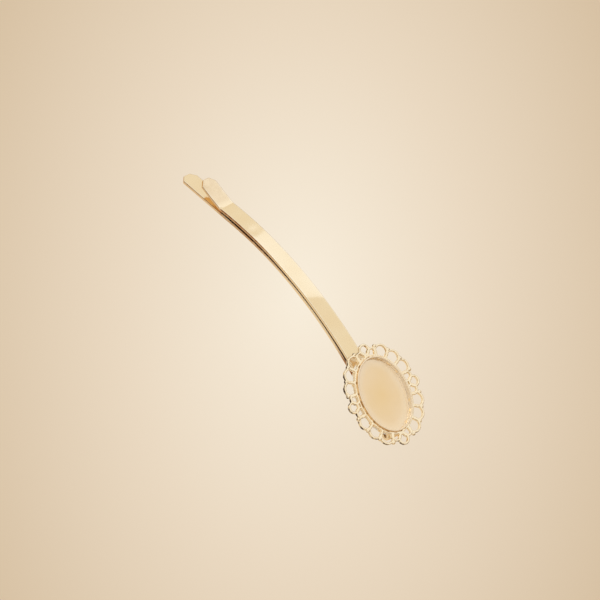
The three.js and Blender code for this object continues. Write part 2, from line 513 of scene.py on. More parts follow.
@cache
def hollow_shade() -> bpy.types.NodeTree:
    """Make the group for painted shade and dark reflection in hollows and on flanks: a brown tone, thinned in
    patches to a least share.

    Returns:
        The group.
    """
    group = Effect("hollow_shade", ("Vector",), ("Hollow", "Scale", "Least"), "Shade")
    noise = group.noise(group.given["Vector"], group.given["Scale"], detail=2.0)
    patches = group.ramp(noise, low=0.46, high=0.56, bottom=group.given["Least"])
    return group.give(group.math("MULTIPLY", group.given["Hollow"], patches, clamp=True))


@dataclass(frozen=True)
class GoldFinish:
    """Gold plating: its tones, its polish and how it has worn, with shade, dark reflection and light painted
    into its tone. Lengths are in millimetres.
    """

    name: str
    gold: Colour
    deep: Colour
    # The paler tone of rubbed edges, which is also painted as light on burnished places; below it, the tone
    # painted as shade and dark reflection.
    rubbed_and_lit: Colour
    shade_paint: Colour
    roughness: float
    edge: Edge
    grain_scale: float
    grain_rough: float
    grain_height: float
    scratch_rough: float
    drift_scale: float
    drift_share: float
    shade_paint_share: float
    grain_stretch: Triple = (1.0, 1.0, 1.0)
    scratch_scale: float = 1.0
    scratch_depth: float = 0.5
    wave_scale: float = 0.13
    wave_height: float = 0.0
    dish_reflection_reach: float = 1.0
    dish_reflection_share: float = 0.0
    wear_scale: float = 1.7
    wear_share: float = 0.7
    wear_polish: float = 0.04
    burnish_share: float = 0.9
    burnish_polish: float = 0.0
    matt_rough: float = 0.5
    shade_paint_scale: float = 1.1
    shade_paint_least: float = 0.6
    shade_paint_rough: float = 0.2
    glance: Colour = (1.0, 1.0, 1.0)
    side_wear: Pair = (0.45, 0.02)
    ridge_turn: Pair = (0.52, 0.60)
    hollow_turn: Pair = (0.49, 0.40)

    def material(self, place: Matrix, half_width: float = 0.0) -> bpy.types.Material:
        """Make the finish as a material.

        Args:
            place: the bench that the finish's patterns are laid out on.
            half_width: half the strip's width, for a finish that wears along the strip's sides.

        Returns:
            The new material.
        """
        material = bpy.data.materials.new(self.name)
        material.use_nodes = True
        graph = Graph(material.node_tree)
        bench = self._bench(graph, place)
        edge, hollow = self._edges(graph, bench, half_width)
        burnish = self._marks(graph, "burnish")
        matt = self._marks(graph, "matt")
        drift = self._effect(graph, tone_drift(), Vector=bench, Scale=self.drift_scale)
        dish_reflection = self._effect(graph, painted_dish_reflection(), Vector=bench, Reach=self.dish_reflection_reach)
        wear = self._effect(graph, edge_wear(), Vector=bench, Edge=edge, Scale=self.wear_scale)
        patches = {"Scale": self.shade_paint_scale, "Least": self.shade_paint_least}
        shade_paint = self._effect(graph, hollow_shade(), Vector=bench, Hollow=hollow, **patches)
        scratch = self._effect(graph, hairline_scratches(), Vector=bench, Scale=self.scratch_scale)
        waves = self._effect(graph, plate_waves(), Vector=bench, Scale=self.wave_scale)
        stretched = graph.vector("MULTIPLY", bench, self.grain_stretch).outputs[0]
        grain = self._effect(graph, polish_grain(), Vector=stretched, Scale=self.grain_scale)
        # The tone: random clouds; a painted reflection, deeper in the dish's middle; rubbed edges; painted
        # shade and dark reflection in hollows and on flanks; burnished places, painted paler as light.
        tone = self.gold
        for mask, share, colour in (
            (drift, self.drift_share, self.deep),
            (dish_reflection, self.dish_reflection_share, self.deep),
            (wear, self.wear_share, self.rubbed_and_lit),
            (shade_paint, self.shade_paint_share, self.shade_paint),
            (burnish, self.burnish_share, self.rubbed_and_lit),
        ):
            tone = graph.blend(graph.math("MULTIPLY", mask, share), tone, colour)
        polish = graph.math("MULTIPLY", graph.math("SUBTRACT", grain, 0.5), self.grain_rough)
        for mask, amount in (
            (scratch, self.scratch_rough),
            (shade_paint, self.shade_paint_rough),
            (matt, self.matt_rough),
            (wear, -self.wear_polish),
            (burnish, -self.burnish_polish),
        ):
            polish = graph.math("ADD", polish, graph.math("MULTIPLY", mask, amount))
        polish = graph.math("ADD", polish, self.roughness, clamp=True)
        height = graph.math("SUBTRACT", grain, graph.math("MULTIPLY", scratch, self.scratch_depth))
        height = graph.math("MULTIPLY", height, self.grain_height)
        height = graph.math("ADD", height, graph.math("MULTIPLY", waves, self.wave_height))
        bump = graph.add("Bump", {"Height": height, "Distance": MM, "Strength": 1.0})
        shader = graph.add("BsdfPrincipled", {
            "Base Color": tone, "Roughness": polish, "Metallic": 1.0, "Normal": bump.outputs[0],
            "Specular Tint": (*self.glance, 1.0),
        })
        graph.add("OutputMaterial", {"Surface": shader.outputs[0]})
        return material

    @staticmethod
    def _bench(graph: Graph, place: Matrix) -> Socket:
        """Return the socket of bench coordinates in millimetres."""
        inputs = {
            "Vector": graph.add("TexCoord").outputs["Object"],
            "Location": place.translation, "Rotation": place.to_euler(), "Scale": (MM, MM, MM),
        }
        return graph.add("Mapping", inputs, vector_type="TEXTURE").outputs[0]

    @staticmethod
    def _effect(graph: Graph, group: bpy.types.NodeTree, **inputs: object) -> Socket:
        """Place a shared effect with its own values and return its output."""
        return graph.add("Group", inputs, node_tree=group).outputs[0]

    @staticmethod
    def _marks(graph: Graph, name: str) -> Socket:
        """Return the socket of the marks that a mesh stores under a name."""
        return graph.add("Attribute", attribute_name=name).outputs["Fac"]

    def _edges(self, graph: Graph, bench: Socket, half_width: float) -> tuple[Socket, Socket]:
        """Find the edges that are rubbed and the hollows and flanks where shade is painted.

        Args:
            graph: the material's nodes.
            bench: the socket of bench coordinates.
            half_width: half the strip's width.

        Returns:
            The sockets that mask edges and hollows.
        """
        flank = self._marks(graph, "flank")
        if self.edge is Edge.STRIP_SIDES:
            across = graph.math("ABSOLUTE", graph.add("SeparateXYZ", {0: bench}).outputs["Y"])
            return graph.ramp(across, *(half_width - inset for inset in self.side_wear)), flank
        if self.edge is Edge.MARKED:
            return self._marks(graph, "rim"), flank
        turn = graph.add("NewGeometry").outputs["Pointiness"]
        hollow = graph.math("MAXIMUM", graph.ramp(turn, *self.hollow_turn), flank)
        return graph.ramp(turn, *self.ridge_turn), hollow


# The strip's red-brown tone is painted shade and dark reflection in the legs' gap, on their sides and corners
# and under the tray; its paler tone is also painted as light inside the gap.
STRIP_FINISH = GoldFinish(
    name="strip_gold", gold=(0.90, 0.73, 0.46), deep=(0.86, 0.66, 0.38), rubbed_and_lit=(0.95, 0.84, 0.62),
    shade_paint=(0.30, 0.10, 0.022), roughness=0.1, edge=Edge.STRIP_SIDES, grain_stretch=(0.3, 3.0, 0.3),
    grain_scale=2.0, grain_rough=0.05, grain_height=0.002, scratch_rough=0.14, drift_scale=0.16,
    drift_share=0.5, shade_paint_share=1.0, wave_height=0.4, shade_paint_least=0.8, glance=(0.9, 0.6, 0.3),
)
# The cup's brown tone is painted shade in the cove and on the outer wall; its pale tone is painted light on
# the burnished inner wall and margin; its deeper tone is also a painted reflection in the dish's middle.
CUP_FINISH = GoldFinish(
    name="cup_satin", gold=(0.925, 0.73, 0.485), deep=(0.905, 0.672, 0.362), rubbed_and_lit=(1.0, 0.96, 0.87),
    shade_paint=(0.55, 0.34, 0.17), roughness=0.38, edge=Edge.MARKED, grain_scale=7.0, grain_rough=0.14,
    grain_height=0.006, scratch_rough=0.08, drift_scale=0.22, drift_share=0.4, shade_paint_share=0.3,
    dish_reflection_reach=4.2, dish_reflection_share=1.0, wear_share=0.2, burnish_polish=0.28,
)
# The lace's near-black tone is painted shade and dark reflection on its walls and in its hollows.
LACE_FINISH = GoldFinish(
    name="lace_gold", gold=(1.0, 0.86, 0.61), deep=(0.96, 0.77, 0.49), rubbed_and_lit=(1.0, 0.92, 0.74),
    shade_paint=(0.065, 0.027, 0.009), roughness=0.06, edge=Edge.CURVATURE, grain_scale=1.6, grain_rough=0.08,
    grain_height=0.06, scratch_rough=0.06, drift_scale=0.5, drift_share=0.5, shade_paint_share=1.0,
    shade_paint_least=0.15,
)
# The solder's brown tone is painted shade in its hollows.
SOLDER_FINISH = GoldFinish(
    name="flowed_solder", gold=(0.98, 0.89, 0.72), deep=(0.95, 0.82, 0.62), rubbed_and_lit=(0.99, 0.93, 0.80),
    shade_paint=(0.70, 0.52, 0.33), roughness=0.3, edge=Edge.CURVATURE, grain_scale=3.0, grain_rough=0.25,
    grain_height=0.03, scratch_rough=0.05, drift_scale=0.8, drift_share=0.9, shade_paint_share=0.6,
)


def dress(
    piece: bpy.types.Object, material: bpy.types.Material, node: str, body: Body | None
) -> bpy.types.Object:
    """Give a laid piece its finish and its place in the part.

    Args:
        piece: the mesh object, laid in the frame.
        material: its finish.
        node: the solid that the piece stands for.
        body: the body that it rides on, or None for a piece that rides on neither, such as the fold between
            them.

    Returns:
        The piece.
    """
    piece.data.materials.clear()
    piece.data.materials.append(material)
    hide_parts(node)
    if body:
        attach(piece, body.value)
    LOG.info("%s: %d faces for %s", piece.name, len(piece.data.polygons), node)
    return piece


# The grip's pieces


def outward(slope: float) -> Vector:
    """Return the way out of the strip's upper face where it slopes down by an angle."""
    return Vector((-math.sin(slope), 0.0, math.cos(slope)))


def onward(slope: float) -> Vector:
    """Return the way towards the tips where the strip slopes down by an angle."""
    return Vector((-math.cos(slope), 0.0, -math.sin(slope)))


@dataclass(frozen=True)
class LegWearAndShade:
    """Where one leg is rubbed and matt, and where shade, dark reflection and light are painted on it.

    Stretches run along the arch in millimetres, from the fold, or from where a tip starts for the end of the
    inner shade, the tip's corners and its face. Shares of painted shade and matt are from 0 to 1. The lit rub
    is a paler tone painted where light reaches into the gap, where the legs also rub. The facing is 1 for a
    leg whose inner face is its upper one, and -1 for the other.
    """

    facing: float
    outer_corner_shade: float
    tip_side_shade: float
    tray_side_shade: float = 0.0
    tip_corner_shade: float = 0.0
    tip_face: float = 0.0
    tray_face_shade: float = 0.0
    inner_corner_shade: float = 0.4
    inner_turn: float = 0.35
    side_turn: float = 0.3
    lit_rub_middle: float = 27.0
    lit_rub_spread: float = 9.0
    rub_matt: float = 0.8
    shade_matt: float = 0.5
    shade: Stretch = (22.0, -4.0)
    fold_matt: Stretch = (8.0, -3.0)
    inner_shade_start: Stretch = (5.0, 4.0)
    inner_shade_end: Stretch = (-2.0, -3.0)
    side_shade_start: Stretch = (36.0, 10.0)
    tray_start: Stretch = (3.0, 6.0)
    tray_end: Stretch = (19.0, -3.0)
    tray_edge: Stretch = (16.4, -0.6)
    corner_start: Stretch = (0.0, 2.0)
    tip_start: Stretch = (0.8, 1.5)


# How much shade and dark reflection is painted on each leg's corners, sides and faces.
UPPER_WEAR_AND_SHADE = LegWearAndShade(facing=-1.0, outer_corner_shade=1.0, tip_side_shade=0.4, tip_face=0.17, tray_face_shade=0.3)
LOWER_WEAR_AND_SHADE = LegWearAndShade(facing=1.0, outer_corner_shade=0.6, tip_side_shade=0.3, tray_side_shade=1.0, tip_corner_shade=0.9)


@dataclass
class SpringStrip:
    """The flat strip, folded into two legs that spring together. Lengths are in millimetres."""

    place: Matrix
    width: float = 3.3
    thickness: float = 0.6
    corner: float = 0.12
    arch_radius: float = 73.6
    fold_gap: float = 0.8
    crease_gap: float = 0.4
    gap_waist: float = 0.2
    upper_arc: float = 56.3
    crease_turn: float = math.radians(16.3)
    crease_radius: float = 2.0
    upper_tip: float = 6.5
    tip_turn: float = math.radians(7.0)
    lower_lead: float = 3.3
    lower_turn: float = math.radians(0.75)
    lower_tip: float = 15.4
    cut_length: float = 1.1
    cut_width: float = 0.95
    cut_slack: float = 1e-6
    arch_steps: int = 72
    crease_steps: int = 10
    fold_steps: int = 40
    corner_steps: int = 3
    smooth: float = math.radians(35)

    @property
    def fold_outer(self) -> float:
        """Radius of the fold's outside."""
        return self.fold_gap / 2 + self.thickness

    @property
    def lower_arc(self) -> float:
        """Where the lower leg's straight tip starts, measured along the arch."""
        return self.upper_arc - self.lower_lead

    @property
    def arch_centre(self) -> Vector:
        """Centre of the upper leg's arch."""
        return Vector((0.0, 0.0, self.fold_outer - self.arch_radius))

    def arch_point(self, arc: float, depth: float) -> Vector:
        """Find a point of the arch.

        Args:
            arc: arc length from the fold.
            depth: depth below the upper leg's outer face.

        Returns:
            The point on the strip's bench.
        """
        angle = arc / self.arch_radius
        radius = self.arch_radius - depth
        height = self.fold_outer - self.arch_radius + radius * math.cos(angle)
        return Vector((-radius * math.sin(angle), 0.0, height))

    def lower_point(self, arc: float) -> Vector:
        """Find a point on the lower leg's upper face, across a gap that closes and is waisted half way.

        Args:
            arc: arc length from the fold.

        Returns:
            The point on the strip's bench.
        """
        share = arc / self.upper_arc
        closing = (self.crease_gap - self.fold_gap) * share
        gap = self.fold_gap + closing - 4.0 * self.gap_waist * share * (1.0 - share)
        return self.arch_point(arc, self.thickness + gap)

    def _section(self, name: str, top: float) -> bpy.types.Object:
        """Cut the strip's section at the fold, with its upper edge at a height."""
        return section(name, top - self.thickness / 2, self.thickness, self.width)

    def _cut_tip(self, end: Vector, heading: Vector) -> None:
        """Cut both corners off a leg's end.

        Args:
            end: the middle of the end's outer edge.
            heading: the way the leg runs there.
        """
        for side in (1.0, -1.0):
            across = Vector((0.0, side, 0.0))
            corner = end + across * (self.width / 2 - self.cut_width)
            facing = (heading * self.cut_width + across * self.cut_length).normalized()
            bpy.ops.mesh.select_all(action="SELECT")
            bpy.ops.mesh.bisect(
                plane_co=corner, plane_no=facing, use_fill=True, clear_outer=True, threshold=self.cut_slack
            )

    @staticmethod
    def _off_fold(edge: bmesh.types.BMEdge) -> bool:
        """Say whether an edge reaches beyond a leg's end at the fold."""
        return any(abs(end.co.x) > NEAR for end in edge.verts)

    @staticmethod
    def _round_fold(edge: bmesh.types.BMEdge) -> bool:
        """Say whether an edge runs round the fold."""
        return abs(edge.verts[0].co.x - edge.verts[1].co.x) > NEAR

    def _mark_wear_and_shade(self, piece: bpy.types.Object, wear: LegWearAndShade) -> None:
        """Store where a leg is matt, where a paler tone is painted in the gap as light and rubbing, and where
        a dark brown is painted as shade and dark reflection, along the gap, near the ends and under the tray.

        Args:
            piece: the leg on its bench.
            wear: how it has worn, and where shade and light are painted on it.
        """
        shade_paint = [0.0] * len(piece.data.vertices)
        matt = shade_paint.copy()
        rubbed_and_lit = shade_paint.copy()
        for i, vertex in enumerate(piece.data.vertices):
            arc = self.arch_radius * math.asin(-vertex.co.x / self.arch_radius)
            inward = vertex.normal.z * wear.facing
            on_side = abs(vertex.normal.y) > wear.side_turn
            # Inner faces: a paler tone painted as light where it reaches into the gap and the legs rub, and
            # painted shade along the rest of the gap and in the corners near the lower tip.
            if inward > wear.inner_turn:
                rubbed_and_lit[i] = math.exp(-((arc - wear.lit_rub_middle) / wear.lit_rub_spread) ** 2)
                shade = min(into(arc, wear.shade), wear.shade_matt)
                matt[i] = max(wear.rub_matt * rubbed_and_lit[i], shade, into(arc, wear.fold_matt))
                between = min(into(arc - self.upper_arc, wear.inner_shade_end), into(arc, wear.inner_shade_start))
                shade_paint[i] = between * (1.0 - rubbed_and_lit[i])
                if on_side:
                    corner = min(into(arc - self.lower_arc, wear.corner_start), wear.tip_corner_shade)
                    shade_paint[i] = max(shade_paint[i], corner)
            # Sides and corners: painted shade and dark reflection, stronger towards the tips and under the
            # tray.
            elif on_side:
                corner = wear.outer_corner_shade if inward < 0.0 else wear.inner_corner_shade
                tip = wear.tip_side_shade if arc > self.upper_arc else 1.0
                under_tray = min(into(arc, wear.tray_end), into(arc, wear.tray_start))
                shade_paint[i] = max(into(arc, wear.side_shade_start) * corner * tip, wear.tray_side_shade * under_tray)
            # Outer faces: a darker tone on the upper tip's face, and painted shade on the upper leg under the
            # tray.
            else:
                tip = wear.tip_face * into(arc - self.upper_arc, wear.tip_start)
                shade_paint[i] = max(tip, min(into(arc, wear.tray_edge), wear.tray_face_shade))
        mark(piece, flank=shade_paint, matt=matt, burnish=rubbed_and_lit)

    def _finish_leg(self, piece: bpy.types.Object, wear: LegWearAndShade) -> bpy.types.Object:
        """Round a leg's edges, but not those of its end at the fold, mark its wear and its painted shade and
        light, and lay it.

        Args:
            piece: the swept leg on its bench.
            wear: how it has worn, and where shade and light are painted on it.

        Returns:
            The laid leg.
        """
        outwards(piece)
        with editing(piece):
            round_off(piece, self.corner, self.corner_steps, self._off_fold)
        self._mark_wear_and_shade(piece, wear)
        return lay(piece, self.place, self.smooth, flat=True)

    def build_upper(self) -> bpy.types.Object:
        """Make the upper leg: the arch, the crease and the lifted, curling tip.

        Returns:
            The laid leg.
        """
        piece = self._section("upper_leg_strip", self.fold_outer)
        slope = self.upper_arc / self.arch_radius
        crease = self.arch_point(self.upper_arc, 0.0) + outward(slope) * self.crease_radius
        lifted = slope - self.crease_turn
        curl_radius = self.upper_tip / self.tip_turn
        curl = crease + outward(lifted) * (curl_radius - self.crease_radius)
        lifted -= self.tip_turn
        with editing(piece):
            sweep(self.arch_centre, slope, self.arch_steps)
            sweep(crease, -self.crease_turn, self.crease_steps)
            sweep(curl, -self.tip_turn, self.crease_steps)
            self._cut_tip(curl - outward(lifted) * curl_radius, onward(lifted))
        return self._finish_leg(piece, UPPER_WEAR_AND_SHADE)

    def build_lower(self) -> bpy.types.Object:
        """Make the lower leg: an arch that nears the upper one, and a straight tip.

        Returns:
            The laid leg.
        """
        first, middle, last = (self.lower_point(self.lower_arc * share) for share in (0.0, 0.5, 1.0))
        piece = self._section("lower_leg_strip", first.z)
        centre = self._centre(first, middle, last)
        turn = (first - centre).angle(last - centre)
        heading = onward(math.atan2(centre.x - last.x, last.z - centre.z) - self.lower_turn)
        with editing(piece):
            sweep(centre, turn, self.arch_steps)
            for _ in range(self.crease_steps):
                extrude(heading * (self.lower_tip / self.crease_steps))
            self._cut_tip(last + heading * self.lower_tip, heading)
        return self._finish_leg(piece, LOWER_WEAR_AND_SHADE)

    def build_bend(self) -> bpy.types.Object:
        """Make the fold that joins the legs, matt on its inside.

        Returns:
            The laid fold.
        """
        piece = self._section("spring_bend_strip", self.fold_outer)
        with editing(piece):
            sweep(Vector(), -math.pi, self.fold_steps)
        outwards(piece)
        with editing(piece):
            round_off(piece, self.corner, self.corner_steps, self._round_fold)
        middle = self.fold_outer - self.thickness / 2
        mark(piece, matt=[float(math.hypot(v.co.x, v.co.z) < middle) for v in piece.data.vertices])
        return lay(piece, self.place, self.smooth, flat=True)

    @staticmethod
    def _centre(first: Vector, middle: Vector, last: Vector) -> Vector:
        """Find the centre of the circle through three points of the side view.

        Args:
            first: one point.
            middle: another point.
            last: the third point.

        Returns:
            The centre.
        """
        one, two = middle - first, last - first
        span = 2.0 * (one.x * two.z - one.z * two.x)
        across = (two.z * one.length_squared - one.z * two.length_squared) / span
        up = (one.x * two.length_squared - two.x * one.length_squared) / span
        return first + Vector((across, 0.0, up))

    def build(self) -> list[bpy.types.Object]:
        """Make and dress the strip's three pieces.

        Returns:
            The pieces.
        """
        gold = STRIP_FINISH.material(self.place, self.width / 2)
        upper = dress(self.build_upper(), gold, "upper_leg", Body.SETTING)
        lower = dress(self.build_lower(), gold, "lower_leg", Body.CLAMP_LEG)
        bend = dress(self.build_bend(), gold, "spring_bend", None)
        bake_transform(bend)
        return [upper, lower, bend]


@dataclass
class StoneSetting:
    """The open cup for the stone, the pad under it and the solder of both. Lengths are in millimetres.

    The fillet's profile gives shares of its width and height, and the bead's waist gives how far from its
    middle it is narrowed, in shares of its height, and by how much.
    """

    place: Matrix
    strip: SpringStrip
    cup_half: Pair = (7.4, 5.4)
    cup_wall: float = 0.3
    cup_height: float = 1.6
    cup_floor: float = 0.4
    rim_round: float = 0.11
    rim_steps: int = 4
    floor_cove: float = 0.15
    cove_steps: int = 3
    floor_margin: float = 1.8
    wall_turn: float = 0.9
    wall_matt: float = 0.9
    # Shares of painted shade on the outer wall and in the floor's cove; the margin's share is of a paler tone
    # painted as light.
    wall_shade: float = 0.8
    cove_shade: float = 0.3
    margin_start: float = 0.8
    margin_burnish: float = 0.22
    setback: float = 7.1
    pad_radius: float = 4.0
    pad_thickness: float = 0.7
    pad_steps: int = 96
    seam: float = 0.55
    seam_steps: int = 720
    seat_gap: float = 0.15
    bead_inset: float = 0.3
    bead_waist: tuple[Pair, ...] = ((0.3, 0.88), (0.1, 0.94))
    bead_cuts: int = 3
    bead_steps: int = 24
    fillet_width: float = 0.45
    fillet_height: float = 0.5
    fillet_profile: tuple[Pair, ...] = ((1.0, 0.0), (0.3, 0.28), (0.0, 1.0))
    oval_steps: int = 144
    smooth: float = math.radians(40)

    def build_cup(self) -> bpy.types.Object:
        """Make the cup: an oval raised to a wall, hollowed to a flat floor, with rounded rims.

        Returns:
            The laid cup.
        """
        piece = oval("bezel_cup_shell", self.cup_half, 0.0, self.oval_steps, "NGON")
        with editing(piece):
            extrude(Vector((0.0, 0.0, self.cup_height)))
            bpy.ops.mesh.inset(thickness=self.cup_wall)
            extrude(Vector((0.0, 0.0, self.cup_floor - self.cup_height)))
            bpy.ops.mesh.inset(thickness=self.floor_margin)
        outwards(piece)
        rim, floor = self.cup_height - NEAR, self.cup_floor + NEAR
        with editing(piece):
            round_off(piece, self.rim_round, self.rim_steps, lambda edge: min(heights(edge)) > rim)
            round_off(piece, self.floor_cove, self.cove_steps, lambda edge: max(heights(edge)) < floor)
        self._mark_use_and_shade(piece)
        return lay(piece, self.place, self.smooth)

    def _mark_use_and_shade(self, piece: bpy.types.Object) -> None:
        """Store the cup's rubbed rim, the shade painted in the floor's cove and on the outer wall by the
        lace, and the inner wall and floor margin, which the setting tool burnishes and which are painted
        paler as light.

        Args:
            piece: the cup on its bench.
        """
        rim = [0.0] * len(piece.data.vertices)
        shade_paint = rim.copy()
        burnish = rim.copy()
        matt = rim.copy()
        for i, vertex in enumerate(piece.data.vertices):
            above = vertex.co.z - self.cup_floor
            facing = out_of_oval(vertex.co, self.cup_half).dot(vertex.normal)
            margin = oval_share(vertex.co, self.cup_half) > self.margin_start
            rim[i] = float(vertex.co.z > self.cup_height - self.rim_round / 2)
            # Painted shade in the cove and on the outer wall; the burnished inner wall and the floor's margin
            # are painted paler as light.
            if NEAR < above < self.floor_cove - NEAR:
                shade_paint[i] = self.cove_shade
            if facing < -self.wall_turn:
                burnish[i] = 1.0
                matt[i] = self.wall_matt
            elif facing > self.wall_turn:
                shade_paint[i] = self.wall_shade
            elif margin and -NEAR < above < self.floor_cove:
                burnish[i] = self.margin_burnish
        mark(piece, rim=rim, flank=shade_paint, burnish=burnish, matt=matt)

    def build_cup_solder(self) -> bpy.types.Object:
        """Make the solder fillet round the cup's foot: a ring with a hollow face.

        Returns:
            The laid fillet.
        """
        piece = oval("cup_solder_fillet", self.cup_half, 0.0, self.oval_steps)
        spread, height = [1.0, 1.0], 0.0
        with editing(piece):
            for out, up in self.fillet_profile:
                wider = [1.0 + out * self.fillet_width / half for half in self.cup_half]
                grow = tuple(after / before for after, before in zip(wider, spread))
                flare(grow, (up - height) * self.fillet_height)
                spread, height = wider, up
            pick(piece, "EDGE", lambda edge: len(edge.link_faces) == 1)
            bpy.ops.mesh.bridge_edge_loops()
        outwards(piece)
        return lay(piece, self.place, self.smooth)

    def build_pad(self) -> bpy.types.Object:
        """Make the pad: a disc with a flat top, hollowed underneath to the strip's arch.

        Returns:
            The laid pad.
        """
        strip = self.strip
        angle = math.asin(self.setback / strip.arch_radius)
        crown = strip.arch_point(strip.arch_radius * angle, 0.0).z
        top = crown + self.seam + self.pad_thickness + self.seat_gap
        deep = 3.0 * self.pad_thickness
        piece = settled(added(
            bpy.ops.mesh.primitive_cylinder_add, "mounting_pad_disc", vertices=self.pad_steps,
            radius=self.pad_radius, depth=deep, location=(-self.setback, 0.0, top - deep / 2),
        ))
        with editing(piece):
            round_off(piece, self.rim_round, self.cove_steps, lambda edge: min(heights(edge)) > top - NEAR)
        arch = added(
            bpy.ops.mesh.primitive_cylinder_add, "arch_cutter", vertices=self.seam_steps,
            radius=strip.arch_radius + self.seam, depth=4.0 * self.pad_radius,
            location=strip.arch_centre, rotation=(math.pi / 2, 0.0, 0.0),
        )
        modify(piece, "BOOLEAN", operation="DIFFERENCE", object=arch, solver="EXACT")
        bpy.data.objects.remove(arch)
        return lay(piece, strip.place, self.smooth)

    def build_pad_solder(self) -> bpy.types.Object:
        """Make the solder between the strip and the pad: a waisted bead that follows the arch.

        Returns:
            The laid bead.
        """
        strip = self.strip
        reach = (self.pad_radius - self.bead_inset) / strip.arch_radius
        start = self.setback / strip.arch_radius - reach
        level = strip.fold_outer + self.seam / 2
        piece = section("pad_solder_bead", level, self.seam, strip.width - self.bead_inset)
        with editing(piece):
            bpy.ops.mesh.subdivide(number_cuts=self.bead_cuts)
            for share, narrowing in self.bead_waist:
                pick(piece, "VERT", lambda corner: abs(corner.co.z - level) < share * self.seam)
                bpy.ops.transform.resize(value=(1.0, narrowing, 1.0))
            bpy.ops.mesh.select_all(action="SELECT")
            bpy.ops.transform.rotate(value=start, orient_axis="Y", center_override=strip.arch_centre)
            sweep(strip.arch_centre, 2.0 * reach, self.bead_steps)
        outwards(piece)
        return lay(piece, strip.place, self.smooth)

    def build(self) -> list[bpy.types.Object]:
        """Make and dress the setting's pieces.

        Returns:
            The pieces.
        """
        satin = CUP_FINISH.material(self.place)
        flowed = SOLDER_FINISH.material(self.place)
        return [
            dress(self.build_cup(), satin, "bezel_cup", Body.SETTING),
            dress(self.build_cup_solder(), flowed, "cup_solder", Body.SETTING),
            dress(self.build_pad(), satin, "mounting_pad", Body.SETTING),
            dress(self.build_pad_solder(), flowed, "pad_solder", Body.SETTING),
        ]


